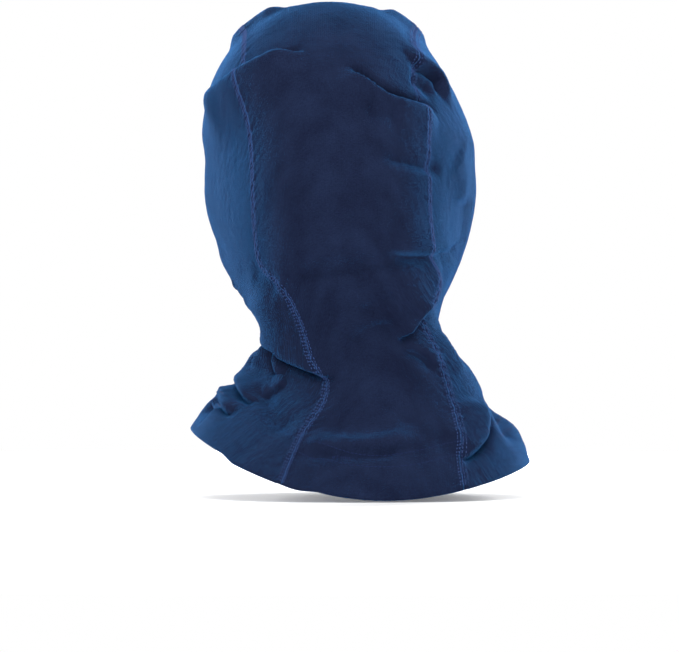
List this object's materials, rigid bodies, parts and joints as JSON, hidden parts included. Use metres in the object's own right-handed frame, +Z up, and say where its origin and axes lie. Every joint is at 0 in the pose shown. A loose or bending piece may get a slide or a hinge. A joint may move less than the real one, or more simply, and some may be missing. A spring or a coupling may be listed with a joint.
{
  "type": "balaclava",
  "caption": "Close-fitting knitted hood that covers the head and neck, with a bound oval face opening, flat-locked seams and a flared, turned-up hem, as worn.",
  "frame": {"origin": "the highest point of the inside of the crown, where the top of the wearer's head touches it", "axes": "+Z up along the wearer's neck, -Y the way the face looks, +X the wearer's left"},
  "size_m": [0.2219, 0.2096, 0.3258],
  "materials": {
    "jersey": "brushed knitted jersey",
    "thread": "textured polyester seam thread",
    "elastic": "woven elastic tape",
    "label_satin": "white satin ribbon, unprinted"
  },
  "bodies": {
    "hood": {"crown_panel": "jersey", "left_side_panel": "jersey", "right_side_panel": "jersey", "chin_panel": "jersey", "face_binding": "jersey", "face_elastic": "elastic", "left_crown_seam_cover_thread": "thread", "right_crown_seam_cover_thread": "thread", "left_chin_seam_cover_thread": "thread", "right_chin_seam_cover_thread": "thread", "left_crown_seam_looper_thread": "thread", "right_crown_seam_looper_thread": "thread", "left_chin_seam_looper_thread": "thread", "right_chin_seam_looper_thread": "thread", "hem_needle_threads": "thread", "hem_looper_thread": "thread", "binding_needle_thread": "thread", "binding_looper_thread": "thread", "label_root": "label_satin", "label_stitching": "thread"},
    "label": {"care_label": "label_satin"}
  },
  "joints": [
    {"name": "care_label_flap", "type": "hinge", "parent": "hood", "child": "label", "pos_m": [-0.0223, 0.07292, -0.26071], "axis": [1, 0, 0], "range_deg": [-120, 12]}
  ]
}
